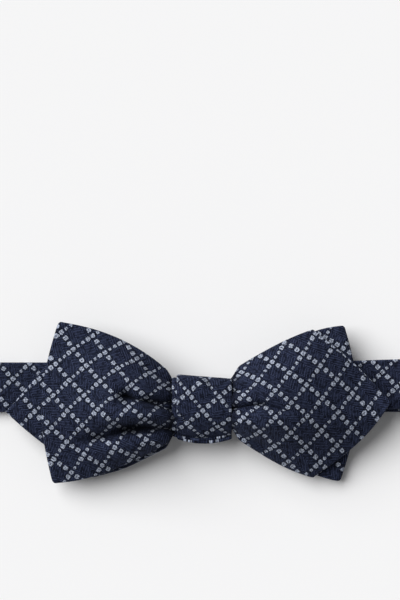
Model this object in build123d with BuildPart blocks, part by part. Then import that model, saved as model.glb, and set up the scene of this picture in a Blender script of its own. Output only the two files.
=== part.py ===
"""A diamond-point bow tie, tied, with its neckband folded flat behind the bow and left unhooked.

+X runs along the band, +Y points up the bow and +Z stands off the surface it lies on.
The origin is under the middle of the bow. Millimetres.
"""
from math import asin, copysign, degrees, pi

from build123d import *
import os

os.makedirs("parts", exist_ok=True)

# --- neckband ---------------------------------------------------------------------------------
neck_size = 457.0  # once round the neck when hooked, at the slider's longest setting
band_width = 18.5
band_thick = 1.5
band_y = 5.5  # the band passes a little above the middle of the bow
neck_gap = 7.5  # between the front and back runs on the right, where the band stands off the surface
left_gap = 1.0  # between them on the left, where the band is pressed flat
left_flat = 55.0  # length of the left front run that lies flat before it climbs to the knot
cloth_wall = 0.4  # one layer of the folded band shell
lining_slip = 0.05  # between a shell and the interlining inside it
seam_margin = 1.2  # turned seam at the edges, where no interlining lies

# --- bow: plies of face cloth, interlining and backing cloth -------------------------------------
ply_thick = 1.5
ply_gap = 0.6  # between two plies of the bow
band_to_bow = 0.4
wing_bulge = 3.2  # how far the long edges of a wing bow outwards
front_loop_half = 30.0
front_loop_corner = 54.0
front_loop_reach = 59.3
front_blade_half = 27.3
front_blade_shoulder = 41.0
front_blade_reach = 69.6
rear_loop_half = 29.0
rear_loop_corner = 51.0
rear_loop_reach = 56.6
rear_blade_half = 27.0
rear_blade_shoulder = 44.0
rear_blade_reach = 73.3

# --- knot ---------------------------------------------------------------------------------------
knot_width = 23.0
knot_height = 25.9
knot_y = -2.2
knot_cloth = 1.0
knot_lining = 0.6
knot_corner = 3.0  # inside corner of the wrap
knot_room = 0.1  # between the gathered cloth and the wrap round it
pleat_rise = 1.8  # how far the gathered pleats stand above the front plies
wing_root_half = 12.0

# --- closure: eye, hook and slider --------------------------------------------------------------
wire = 1.2  # round bars that the strap goes round
slider_bar = 0.9
bar_slip = 0.05  # round a sewn-in bar
turn_slip = 0.1  # round a bar that the strap runs over
strap_slip = 0.1  # over and under a strap that slides
side_gap = 0.6  # between the strap's edge and the metal
end_cloth = 1.0  # the sewn-back end of a strap round its bar
eye_length = 8.0
hook_window = 4.6
hook_plate = 2.9
hook_tongue = 4.0
tongue_width = 9.0
metal = 1.0
lip_gap = 1.6
lip_length = 3.2
tail_clear = 20.0  # from the middle of the bow to the tip of the eye or the hook
slider_to_hook = 18.5
slider_half = 5.0
slack_length = 28.0  # this much strap is unlined and runs round the hook's bar
ramp_flat = 3.0
ramp_length = 6.0
tab_length = 12.0
tab_flat = 8.0
slider_tab = 9.0
tack_width = 1.4
tack_inset = 2.0
tack_rise = 0.3
metal_round = 0.25

# --- worked out from the above --------------------------------------------------------------------
front_low = band_thick + neck_gap
left_low = band_thick + left_gap
left_outer = band_thick + left_gap / 2
right_outer = band_thick + neck_gap / 2
fold_arcs = pi * (left_outer + right_outer - band_thick)
band_half = band_width / 2
knot_half = knot_width / 2
level_low = [front_low + band_thick + band_to_bow + n * (ply_thick + ply_gap) for n in range(3)]
bow_top = level_low[2] + ply_thick + pleat_rise
strap_lift = slider_bar + strap_slip
strap_top = strap_lift + band_thick
turn_inner = wire / 2 + turn_slip
turn_outer = turn_inner + band_thick
hook_axis = strap_top + turn_inner
return_low = hook_axis + turn_inner
end_inner = wire / 2 + bar_slip
end_outer = end_inner + end_cloth
eye_axis = end_outer
slider_axis = strap_top + strap_slip + end_outer
hook_reach = hook_window + hook_plate + hook_tongue
hook_x = tail_clear + hook_reach
slider_x = hook_x + slider_to_hook
slack_end = hook_x + slack_length
eye_x = -(tail_clear + eye_length + wire / 2)
unhooked_gap = 2 * tail_clear + wire / 2 + metal
band_reach = (neck_size + unhooked_gap - fold_arcs) / 4 + (left_outer + right_outer) / 2
left_fold = band_reach - left_outer
right_fold = band_reach - right_outer
tab_x = eye_x - tab_length
rail_in = band_half + side_gap
eye_half = rail_in + wire / 2
eye_tilt = degrees(asin((eye_axis - wire / 2) / eye_length))
hook_tilt = degrees(asin((hook_axis - metal / 2) / hook_reach))

band_plane = Plane.XZ.offset(-band_y)
cheek_plane = Plane.XZ.offset(-band_y - rail_in)


def save(piece, label):
    """Name a finished piece and write it to its own file."""
    piece.part.label = label
    export_step(piece.part, f"parts/{label}.step")


# --- bow plies --------------------------------------------------------------------------------------
def wing_edge(side, end_x, end_y):
    """The bowed long edge of a wing, from the knot out to its corner or shoulder."""
    up = 1 if end_y > 0 else -1
    root = (side * knot_half, knot_y + up * wing_root_half)
    end = (side * end_x, end_y)
    middle = ((root[0] + end[0]) / 2, (root[1] + end[1]) / 2 + up * wing_bulge)
    ThreePointArc(root, middle, end)


def loop_outline(side, corner, half):
    """A ply of a folded loop: narrow at the knot, with two corners on the fold line."""
    wing_edge(side, corner, half)
    Line((side * corner, half), (side * corner, -half))
    wing_edge(side, corner, -half)
    Line((side * knot_half, knot_y - wing_root_half), (side * knot_half, knot_y + wing_root_half))


def blade_outline(side, shoulder, half, reach):
    """A ply of a diamond-point end: bowed out to two shoulders and then straight to its point."""
    wing_edge(side, shoulder, half)
    Polyline((side * shoulder, half), (side * reach, 0), (side * shoulder, -half))
    wing_edge(side, shoulder, -half)
    Line((side * knot_half, knot_y - wing_root_half), (side * knot_half, knot_y + wing_root_half))


def bow_panel(name, low, pocket_low, outline, sizes):
    """One cloth panel of a ply: a shallow tray whose rim is the turned seam."""
    with BuildPart() as panel:
        with BuildSketch(Plane.XY.offset(low)):
            with BuildLine():
                outline(*sizes)
            make_face()
        extrude(amount=ply_thick / 2)
        with BuildSketch(Plane.XY.offset(pocket_low)):
            with BuildLine():
                outline(*sizes)
            make_face()
            offset(amount=-seam_margin, kind=Kind.INTERSECTION, mode=Mode.REPLACE)
        extrude(amount=ply_thick / 2 - cloth_wall, mode=Mode.SUBTRACT)
    save(panel, name)


def bow_ply(name, low, outline, sizes):
    """A ply as it is sewn: backing panel below, face panel above and interlining between."""
    middle = low + ply_thick / 2
    bow_panel(f"{name}_backing", low, low + cloth_wall, outline, sizes)
    bow_panel(f"{name}_face", middle, middle, outline, sizes)
    with BuildPart() as interlining:
        with BuildSketch(Plane.XY.offset(low + cloth_wall + lining_slip)):
            with BuildLine():
                outline(*sizes)
            make_face()
            offset(amount=-seam_margin - lining_slip, kind=Kind.INTERSECTION, mode=Mode.REPLACE)
        extrude(amount=ply_thick - 2 * (cloth_wall + lining_slip))
    save(interlining, f"{name}_interlining")


def loop_fold(name, low, side, corner, half, reach):
    """The rounded end where a loop's cloth turns back on itself."""
    with BuildPart() as fold:
        with BuildSketch(Plane.XY.offset(low)):
            with BuildLine():
                ThreePointArc((side * corner, half), (side * reach, 0), (side * corner, -half))
                Line((side * corner, half), (side * corner, -half))
            make_face()
        extrude(amount=2 * ply_thick + ply_gap)
    save(fold, name)


front_loop = (-1, front_loop_corner, front_loop_half)
rear_loop = (1, rear_loop_corner, rear_loop_half)
front_blade = (1, front_blade_shoulder, front_blade_half, front_blade_reach)
rear_blade = (-1, rear_blade_shoulder, rear_blade_half, rear_blade_reach)

bow_ply("front_loop_over", level_low[2], loop_outline, front_loop)
bow_ply("front_loop_under", level_low[1], loop_outline, front_loop)
bow_ply("front_blade", level_low[2], blade_outline, front_blade)
bow_ply("rear_loop_over", level_low[1], loop_outline, rear_loop)
bow_ply("rear_loop_under", level_low[0], loop_outline, rear_loop)
bow_ply("rear_blade", level_low[0], blade_outline, rear_blade)
loop_fold("front_loop_fold", level_low[1], *front_loop, front_loop_reach)
loop_fold("rear_loop_fold", level_low[0], *rear_loop, rear_loop_reach)

# --- knot: a wrap round the gathered waists ------------------------------------------------------
ring_low = front_low - knot_room
ring_high = bow_top + knot_room
ring_middle = (ring_low + ring_high) / 2
ring_span = ring_high - ring_low
ring_across = knot_height - 2 * (knot_cloth + knot_lining)
knot_plane = Plane.YZ


def knot_ring(name, inner, wall):
    """A closed wrap of cloth, inner away from the gathered cloth and wall thick."""
    outer = inner + wall
    with BuildPart() as ring:
        with BuildSketch(knot_plane):
            with Locations((knot_y, ring_middle)):
                RectangleRounded(ring_across + 2 * outer, ring_span + 2 * outer, knot_corner + outer)
                RectangleRounded(
                    ring_across + 2 * inner, ring_span + 2 * inner, knot_corner + inner, mode=Mode.SUBTRACT
                )
        extrude(amount=knot_half, both=True)
    save(ring, name)


knot_ring("knot_lining", 0, knot_lining)
knot_ring("knot_wrap", knot_lining, knot_cloth)

waist_across = ring_across - 2 * knot_room
with BuildPart() as front_waist:
    with BuildSketch(knot_plane):
        with Locations((knot_y, (level_low[1] + bow_top) / 2)):
            waist = Rectangle(waist_across, bow_top - level_low[1])
        fillet(waist.vertices().group_by(Axis.Y)[-1], knot_corner)
    extrude(amount=knot_half, both=True)
save(front_waist, "front_waist")

with BuildPart() as rear_waist:
    with BuildSketch(knot_plane):
        with Locations((knot_y, level_low[0] + ply_thick / 2)):
            Rectangle(waist_across - knot_corner, ply_thick)
    extrude(amount=knot_half, both=True)
save(rear_waist, "rear_waist")

with BuildPart() as band_crossing:
    with BuildSketch(knot_plane):
        with Locations((knot_y, front_low + band_thick / 2)):
            Rectangle(waist_across - 2 * knot_corner, band_thick)
    extrude(amount=knot_half, both=True)
save(band_crossing, "band_crossing")


# --- neckband: front runs, folds and back runs --------------------------------------------------
def strap_block(name, x_low, x_high, low, thick, half):
    """A flat length of strap or of the lining inside it."""
    with BuildPart() as strap:
        with BuildSketch(band_plane):
            with Locations(((x_low + x_high) / 2, low + thick / 2)):
                Rectangle(x_high - x_low, thick)
        extrude(amount=half, both=True)
    save(strap, name)


def strap_shell(name, x_low, x_high, low):
    """The folded cloth tube of the band, open at both ends for its interlining."""
    with BuildPart() as shell:
        with BuildSketch(band_plane):
            with Locations(((x_low + x_high) / 2, low + band_thick / 2)):
                Rectangle(x_high - x_low, band_thick)
        extrude(amount=band_half, both=True)
        with BuildSketch(band_plane):
            with Locations(((x_low + x_high) / 2, low + band_thick / 2)):
                Rectangle(x_high - x_low, band_thick - 2 * cloth_wall)
        extrude(amount=band_half - seam_margin, both=True, mode=Mode.SUBTRACT)
    save(shell, name)


def band_fold(name, fold_x, fold_outer):
    """The soft half ring where the band turns at fold_x, on its way from its front run to its back run."""
    with BuildPart() as fold:
        with BuildSketch(band_plane):
            with Locations((fold_x, fold_outer)):
                Circle(fold_outer)
                Circle(fold_outer - band_thick, mode=Mode.SUBTRACT)
            with Locations((fold_x - copysign(fold_outer, fold_x), fold_outer)):
                Rectangle(2 * fold_outer, 2 * fold_outer, mode=Mode.SUBTRACT)
        extrude(amount=band_half, both=True)
    save(fold, name)


lining_low = cloth_wall + lining_slip
lining_thick = band_thick - 2 * lining_low
lining_half = band_half - seam_margin - lining_slip

strap_shell("right_band_front", knot_half, right_fold, front_low)
strap_shell("left_band_back", -left_fold, tab_x, 0)
strap_block(
    "right_band_front_interlining", knot_half, right_fold, front_low + lining_low, lining_thick, lining_half
)
strap_block("left_band_back_interlining", -left_fold, tab_x, lining_low, lining_thick, lining_half)
band_fold("left_band_fold", -left_fold, left_outer)
band_fold("right_band_fold", right_fold, right_outer)


def climb_outline(low, high):
    """Side view of the left front run, which lies flat from its fold and then climbs to the knot."""
    Polyline(
        (-left_fold, left_low + low),
        (left_flat - left_fold, left_low + low),
        (-knot_half, front_low + low),
        (-knot_half, front_low + high),
        (left_flat - left_fold, left_low + high),
        (-left_fold, left_low + high),
        close=True,
    )


def ramp_outline(low, high):
    """Side view of the right back run, which lies flat at its fold and then rises over the slider."""
    Polyline(
        (right_fold, low),
        (right_fold - ramp_flat, low),
        (right_fold - ramp_flat - ramp_length, low + strap_lift),
        (slack_end, low + strap_lift),
        (slack_end, high + strap_lift),
        (right_fold - ramp_flat - ramp_length, high + strap_lift),
        (right_fold - ramp_flat, high),
        (right_fold, high),
        close=True,
    )


def bent_run(name, outline):
    """A run of the band that bends in side view: its folded shell, and the interlining inside."""
    with BuildPart() as shell:
        with BuildSketch(band_plane):
            with BuildLine():
                outline(0, band_thick)
            make_face()
        extrude(amount=band_half, both=True)
        with BuildSketch(band_plane):
            with BuildLine():
                outline(cloth_wall, band_thick - cloth_wall)
            make_face()
        extrude(amount=band_half - seam_margin, both=True, mode=Mode.SUBTRACT)
    save(shell, name)
    with BuildPart() as interlining:
        with BuildSketch(band_plane):
            with BuildLine():
                outline(lining_low, band_thick - lining_low)
            make_face()
        extrude(amount=lining_half, both=True)
    save(interlining, f"{name}_interlining")


bent_run("left_band_front", climb_outline)
bent_run("right_band_back", ramp_outline)

# --- strap round the hook's bar and back to the slider ------------------------------------------
strap_block("strap_slack", hook_x, slack_end, strap_lift, band_thick, band_half)
strap_block("strap_return", hook_x, slider_x - slider_tab, return_low, band_thick, band_half)

with BuildPart() as strap_turn:
    with BuildSketch(band_plane):
        with Locations((hook_x, hook_axis)):
            Circle(turn_outer)
            Circle(turn_inner, mode=Mode.SUBTRACT)
        with Locations((hook_x + turn_outer, hook_axis)):
            Rectangle(2 * turn_outer, 2 * turn_outer, mode=Mode.SUBTRACT)
    extrude(amount=band_half, both=True)
save(strap_turn, "strap_turn")

with BuildPart() as slider_end_loop:
    with BuildSketch(band_plane):
        with BuildLine():
            Polyline(
                (slider_x - slider_tab, return_low),
                (slider_x, slider_axis - end_outer),
                (slider_x, slider_axis + end_outer),
                (slider_x - slider_tab / 2, return_low + band_thick),
                (slider_x - slider_tab, return_low + band_thick),
                close=True,
            )
        make_face()
        with Locations((slider_x, slider_axis)):
            Circle(end_outer)
            Circle(end_inner, mode=Mode.SUBTRACT)
    extrude(amount=band_half, both=True)
save(slider_end_loop, "slider_end_loop")

with BuildPart() as left_end_loop:
    with BuildSketch(band_plane):
        with BuildLine():
            Polyline(
                (tab_x, 0),
                (eye_x, 0),
                (eye_x, 2 * end_outer),
                (tab_x + tab_flat, band_thick + end_cloth),
                (tab_x, band_thick + end_cloth),
                close=True,
            )
        make_face()
        with Locations((eye_x, eye_axis)):
            Circle(end_outer)
            Circle(end_inner, mode=Mode.SUBTRACT)
    extrude(amount=band_half, both=True)
save(left_end_loop, "left_end_loop")


def bartack(name, x, low):
    """A close zigzag of thread across the strap that holds its end down."""
    with BuildPart() as tack:
        with BuildSketch(band_plane):
            with Locations((x, low + tack_rise / 2)):
                Rectangle(tack_width, tack_rise)
        extrude(amount=band_half - seam_margin, both=True)
    save(tack, name)


bartack("left_bartack", tab_x + tack_inset, band_thick + end_cloth)
bartack("slider_bartack", slider_x - slider_tab + tack_inset, return_low + band_thick)

# --- eye: a bent wire ring, lying with its far side on the surface -------------------------------
eye_plane = Plane(Location((eye_x, band_y, eye_axis), (0, eye_tilt, 0)))
with BuildPart() as eye:
    with BuildLine(eye_plane) as eye_path:
        FilletPolyline(
            (0, -eye_half),
            (eye_length, -eye_half),
            (eye_length, eye_half),
            (0, eye_half),
            radius=eye_half - band_half,
            close=True,
        )
    with BuildSketch(Plane(origin=eye_path.line @ 0, z_dir=eye_path.line % 0)):
        Circle(wire / 2)
    sweep()
save(eye, "eye")

# --- hook: a bar for the strap, a plate and a turned-over tongue ---------------------------------
hook_plane = Plane(Location((hook_x, band_y, hook_axis), (0, -hook_tilt, 180)))
hook_side = Plane(origin=hook_plane.origin, x_dir=hook_plane.x_dir, z_dir=-hook_plane.y_dir)
rail_out = rail_in + wire
plate_end = hook_window + hook_plate
lip_low = metal / 2 + lip_gap
lip_high = lip_low + metal
with BuildPart() as hook:
    with BuildSketch(hook_plane):
        with Locations((plate_end / 2, 0)):
            Rectangle(plate_end, 2 * rail_out)
        with Locations((hook_window / 2, 0)):
            Rectangle(hook_window, 2 * rail_in, mode=Mode.SUBTRACT)
        with Locations((plate_end + hook_tongue / 2, 0)):
            tongue = Rectangle(hook_tongue, tongue_width)
    extrude(amount=metal / 2, both=True)
    with BuildSketch(hook_side):
        with BuildLine():
            Polyline(
                (hook_reach - metal, 0),
                (hook_reach, 0),
                (hook_reach, lip_high),
                (hook_reach - lip_length, lip_high),
                (hook_reach - lip_length, lip_low),
                (hook_reach - metal, lip_low),
                close=True,
            )
        make_face()
    extrude(amount=tongue_width / 2, both=True)
    with BuildSketch(hook_side):
        Circle(wire / 2)
    extrude(amount=rail_out, both=True)
    fillet(hook.edges().filter_by(Axis.Y).group_by(Axis.X)[0], metal_round)
    long_edges = hook.edges().filter_by(Axis.Y).filter_by(lambda edge: edge.length < tongue_width + metal)
    fillet(long_edges.group_by(Axis.Z)[-1], metal_round)
save(hook, "hook")

# --- slider: two bars under the strap, arched cheeks and a raised bar for the sewn end ------------
cheek_foot = slider_half + slider_bar / 2
cheek_top = slider_axis + wire / 2
with BuildPart() as slider:
    with BuildSketch(cheek_plane):
        with BuildLine():
            Polyline(
                (slider_x - cheek_foot, 0),
                (slider_x + cheek_foot, 0),
                (slider_x + cheek_foot, slider_bar),
                (slider_x + wire, cheek_top),
                (slider_x - wire, cheek_top),
                (slider_x - cheek_foot, slider_bar),
                close=True,
            )
        cheek = make_face()
        fillet(cheek.vertices(), metal_round)
    extrude(amount=-wire)
    mirror(about=band_plane)
    with BuildSketch(band_plane):
        with Locations((slider_x - slider_half, slider_bar / 2), (slider_x + slider_half, slider_bar / 2)):
            Circle(slider_bar / 2)
        with Locations((slider_x, slider_axis)):
            Circle(wire / 2)
    extrude(amount=rail_in, both=True)
save(slider, "slider")
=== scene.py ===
"""The looks of a tied diamond-point bow tie in checked herringbone twill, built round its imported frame.

Sizes are in millimetres, and turn into metres where a mesh is made.
"""
import logging
import math
from dataclasses import dataclass, field
from enum import Enum
from typing import Callable, Optional, Sequence, Union

import bpy
import numpy as np
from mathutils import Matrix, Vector


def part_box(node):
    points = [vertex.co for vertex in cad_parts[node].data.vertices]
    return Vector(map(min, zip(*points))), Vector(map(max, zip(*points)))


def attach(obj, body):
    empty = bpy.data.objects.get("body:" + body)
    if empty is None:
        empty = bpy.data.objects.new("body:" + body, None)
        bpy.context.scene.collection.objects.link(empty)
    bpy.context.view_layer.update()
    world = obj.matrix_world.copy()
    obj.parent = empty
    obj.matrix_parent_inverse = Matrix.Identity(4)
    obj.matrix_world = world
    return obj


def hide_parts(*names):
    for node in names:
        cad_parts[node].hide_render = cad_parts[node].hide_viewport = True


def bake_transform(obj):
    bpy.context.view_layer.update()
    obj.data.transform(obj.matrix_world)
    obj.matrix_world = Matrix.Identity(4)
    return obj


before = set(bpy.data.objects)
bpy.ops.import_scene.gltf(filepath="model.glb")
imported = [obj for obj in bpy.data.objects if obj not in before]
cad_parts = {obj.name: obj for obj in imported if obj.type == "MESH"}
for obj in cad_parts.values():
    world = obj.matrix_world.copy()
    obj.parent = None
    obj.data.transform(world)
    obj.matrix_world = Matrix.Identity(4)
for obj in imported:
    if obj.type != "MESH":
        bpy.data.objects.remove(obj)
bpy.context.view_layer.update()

MM = 0.001
TINY = 1e-6
FAR = 1e3
CLOTH_MAP = "cloth"
RIM_MARK = "rim"
# Painted shade: the mesh attribute that says how much darker the cloth is drawn in deep creases and
# beside the knot.
PAINTED_SHADE_MARK = "painted_shade"
LOG = logging.getLogger("bow_tie")

Data = Union[bpy.types.Mesh, bpy.types.Light, bpy.types.Camera]
Socket = Union[bpy.types.NodeSocket, float]
Colour = tuple[float, float, float]


class Side(Enum):
    """Which way a piece points from the knot, as the sign of its X."""

    LEFT = -1
    RIGHT = 1


# --- measures and curves -----------------------------------------------------------------------------
@dataclass(frozen=True)
class Box:
    """The space that some CAD nodes take together, in millimetres."""

    low: np.ndarray
    high: np.ndarray

    @classmethod
    def of(cls, *nodes: str) -> "Box":
        """Measures CAD nodes at rest.

        Args:
            nodes: The nodes' names.

        Returns:
            The box round all of them.
        """
        corners = [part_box(node) for node in nodes]
        low = np.min([tuple(c[0]) for c in corners], axis=0) / MM
        high = np.max([tuple(c[1]) for c in corners], axis=0) / MM
        return cls(low, high)

    @property
    def middle(self) -> np.ndarray:
        """The centre of the box."""
        return (self.low + self.high) / 2


def cubic(share: np.ndarray, start: float, third: float, two_thirds: float, end: float) -> np.ndarray:
    """A smooth curve through four evenly spaced heights.

    Args:
        share: Where to read the curve, 0 at its start and 1 at its end.
        start: The height at 0.
        third: The height at 1/3.
        two_thirds: The height at 2/3.
        end: The height at 1.

    Returns:
        The height at each share.
    """
    t = np.asarray(share, float)
    return (
        start * (1 - 3 * t) * (2 - 3 * t) * (1 - t) / 2
        + third * 9 * t * (2 - 3 * t) * (1 - t) / 2
        + two_thirds * 9 * t * (3 * t - 1) * (1 - t) / 2
        + end * t * (3 * t - 1) * (3 * t - 2) / 2
    )


def ease(value: np.ndarray, low: float, high: float) -> np.ndarray:
    """Rises smoothly from 0 at low to 1 at high, or falls where low is the larger."""
    t = np.clip((np.asarray(value, float) - low) / (high - low), 0, 1)
    return t * t * (3 - 2 * t)


RIM_LINES = (0.0, 0.06, 0.2, 0.45, 0.75)


def stations(length: float, cell: float, rim: float) -> np.ndarray:
    """Grid lines across a sheet, close together where its rim rounds over.

    Args:
        length: The sheet's size that way.
        cell: The spacing away from the rims.
        rim: How far from each border the rounding reaches.

    Returns:
        The lines' places as shares of the length, from 0 to 1.
    """
    near = rim * np.array(RIM_LINES)
    count = max(2, round((length - 2 * rim) / cell))
    inner = np.linspace(rim, length - rim, count + 1)
    return np.concatenate([near, inner, length - near[::-1]]) / length


@dataclass(frozen=True)
class Crease:
    """A fold line in a piece of cloth, seen from the front.

    It is a valley, or a ridge where its depth is negative. It fades out over shares of its length.
    """

    start: tuple[float, float]
    end: tuple[float, float]
    width: float
    depth: float
    fade: tuple[float, float] = (0.15, 0.3)
    sharp: float = 1.3

    def height(self, x: np.ndarray, y: np.ndarray) -> np.ndarray:
        """How far the crease lifts the cloth.

        Args:
            x: Places along the band.
            y: Places up the bow.

        Returns:
            The lift at each place, negative in a valley.
        """
        run = np.array(self.end) - np.array(self.start)
        length = float(np.hypot(*run))
        along = ((x - self.start[0]) * run[0] + (y - self.start[1]) * run[1]) / length**2
        across = ((x - self.start[0]) * run[1] - (y - self.start[1]) * run[0]) / length
        swell = ease(along, -self.fade[0], self.fade[0]) * ease(along, 1 + self.fade[1], 1 - self.fade[1])
        return -self.depth * swell * np.exp(-(np.abs(across / self.width) ** self.sharp))


@dataclass(frozen=True)
class Grain:
    """How the check lies on a piece: which way its lines of large dots run, and where two lines cross."""

    turn: float
    crossing: tuple[float, float]

    def lay(self, flat: np.ndarray) -> np.ndarray:
        """Turns places on the flat cloth into distances along and across the lines.

        Args:
            flat: Places on the flattened piece, in its last axis.

        Returns:
            The same places measured along the weave, in metres.
        """
        angle = math.radians(self.turn)
        along = np.array([math.cos(angle), math.sin(angle)])
        across = np.array([-math.sin(angle), math.cos(angle)])
        moved = flat - np.array(self.crossing)
        return np.stack([moved @ along, moved @ across], axis=-1) * MM


# --- sheets of cloth ---------------------------------------------------------------------------------
def add_object(name: str, data: Data) -> bpy.types.Object:
    """Puts a mesh, light or camera in the scene under a name.

    Args:
        name: The new object's name.
        data: The mesh, light or camera.

    Returns:
        The object, at the origin.
    """
    made = bpy.data.objects.new(name, data)
    bpy.context.scene.collection.objects.link(made)
    return made


@dataclass
class Sheet:
    """A doubled and lined cloth with soft rims, made from the grid of its middle surface.

    Rows run along the cloth and columns across it. In a ring, the last row joins the first.
    """

    name: str
    middle: np.ndarray
    flat: np.ndarray
    grain: Grain
    thickness: float = 1.2
    rim: float = 1.0
    ring: bool = False
    # How much painted shade darkens each grid point, from 0 to 1, or one value for all.
    painted_shade: Union[np.ndarray, float] = 0.0

    def _steps(self, axis: int) -> np.ndarray:
        """The distance between neighbouring grid points, along rows (0) or columns (1)."""
        return np.linalg.norm(np.diff(self.middle, axis=axis), axis=2)

    def _from_border(self, axis: int) -> np.ndarray:
        """Each grid point's distance to the nearer border that a grid line reaches that way.

        Args:
            axis: Along rows (0) or columns (1).

        Returns:
            The distances.
        """
        steps = self._steps(axis)
        start = np.insert(np.cumsum(steps, axis=axis), 0, 0, axis=axis)
        total = np.take(start, [-1], axis=axis)
        return np.minimum(start, total - start)

    def _normals(self) -> np.ndarray:
        """The unit normals of the middle surface, on the face that looks away from the wearer.

        Returns:
            The normal at each grid point.
        """
        if self.ring:
            wrapped = np.concatenate([self.middle[-1:], self.middle, self.middle[:1]])
            down = (wrapped[2:] - wrapped[:-2]) / 2
        else:
            down = np.gradient(self.middle, axis=0)
        normal = np.cross(np.gradient(self.middle, axis=1), down)
        return normal / np.maximum(np.linalg.norm(normal, axis=2, keepdims=True), 1e-9)

    def area(self) -> float:
        """The area of the flattened cloth, in square metres.

        Returns:
            The area.
        """
        a = self.flat[1:, 1:] - self.flat[:-1, :-1]
        b = self.flat[1:, :-1] - self.flat[:-1, 1:]
        return float(np.abs(a[..., 0] * b[..., 1] - a[..., 1] * b[..., 0]).sum() / 2) * MM * MM

    def build(self) -> bpy.types.Object:
        """Makes the closed mesh, with its cloth map, rim mark and painted shade mask.

        Returns:
            The new object, which stands at the origin.
        """
        rows, columns = self.middle.shape[:2]
        across = self._from_border(1)
        along = np.full_like(across, FAR) if self.ring else self._from_border(0)
        half = self.thickness / 2
        for distance in (along, across):
            half = half * np.sqrt(1 - (1 - np.clip(distance / self.rim, 0, 1)) ** 2)
        offset = self._normals() * half[..., None]
        shared = across < TINY if self.ring else (across < TINY) | (along < TINY)

        front = np.arange(rows * columns).reshape(rows, columns)
        back = front.copy()
        back[~shared] = rows * columns + np.arange(int((~shared).sum()))
        points = np.concatenate([(self.middle + offset).reshape(-1, 3), (self.middle - offset)[~shared]])
        near = np.exp(-np.minimum(along, across) / self.rim)
        painted_shade = np.broadcast_to(self.painted_shade, near.shape)

        row = np.arange(rows if self.ring else rows - 1)[:, None]
        column = np.arange(columns - 1)[None, :]
        below = (row + 1) % rows
        left, right = (row, column, row), (row, column + 1, row)
        corners = [left, right, (below, column + 1, row + 1), (below, column, row + 1)]
        front_faces = np.stack([front[r, c] for r, c, _ in corners], axis=-1).reshape(-1, 4)
        back_faces = np.stack([back[r, c] for r, c, _ in corners], axis=-1).reshape(-1, 4)[:, ::-1]
        laid = self.grain.lay(self.flat)
        front_map = np.stack([laid[f, c] for _, c, f in corners], axis=-2).reshape(-1, 4, 2)
        faces = np.concatenate([front_faces, back_faces])
        cloth_map = np.concatenate([front_map, front_map[:, ::-1]])

        mesh = bpy.data.meshes.new(self.name)
        mesh.from_pydata((points * MM).tolist(), [], faces.tolist())
        mesh.uv_layers.new(name=CLOTH_MAP).data.foreach_set("uv", cloth_map.astype(np.float32).ravel())
        for mark, grid in ((RIM_MARK, near), (PAINTED_SHADE_MARK, painted_shade)):
            values = np.concatenate([grid.reshape(-1), grid[~shared]]).astype(np.float32)
            mesh.attributes.new(mark, "FLOAT", "POINT").data.foreach_set("value", values)
        mesh.polygons.foreach_set("use_smooth", np.ones(len(faces), bool))
        mesh.validate()
        return add_object(self.name, mesh)


def flatten(middle: np.ndarray, side: int, centre: int) -> np.ndarray:
    """Lays a curved grid out flat, so that the check keeps its size over folds.

    Args:
        middle: The grid of the middle surface, its rows running away from the knot.
        side: The sign of X that the first row runs towards.
        centre: The column that keeps its own height.

    Returns:
        Each grid point's place on the flat cloth.
    """
    step = np.diff(middle, axis=0)
    along = np.insert(np.cumsum(np.hypot(step[..., 0], step[..., 2]), axis=0), 0, 0, axis=0)
    step = np.diff(middle, axis=1)
    across = np.insert(np.cumsum(np.hypot(step[..., 1], step[..., 2]), axis=1), 0, 0, axis=1)
    across = across - across[:, centre : centre + 1] + middle[:, centre : centre + 1, 1]
    return np.stack([middle[:1, :, 0] + side * along, across], axis=-1)


RIPPLE_WAVES = 6
RIPPLE_LENGTHS = (9, 26)


def ripple(x: np.ndarray, y: np.ndarray, seed: int, size: float) -> np.ndarray:
    """Slow unevenness of soft cloth, the same on every run.

    Args:
        x: Places along the band.
        y: Places up the bow.
        seed: Which unevenness to take.
        size: The greatest lift.

    Returns:
        The lift at each place.
    """
    draw = np.random.default_rng(seed)
    lift = np.zeros_like(x)
    for _ in range(RIPPLE_WAVES):
        angle, phase = draw.uniform(0, 2 * math.pi, 2)
        length = draw.uniform(*RIPPLE_LENGTHS)
        lift += np.sin((x * math.cos(angle) + y * math.sin(angle)) * 2 * math.pi / length + phase)
    return lift * size / RIPPLE_WAVES


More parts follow.
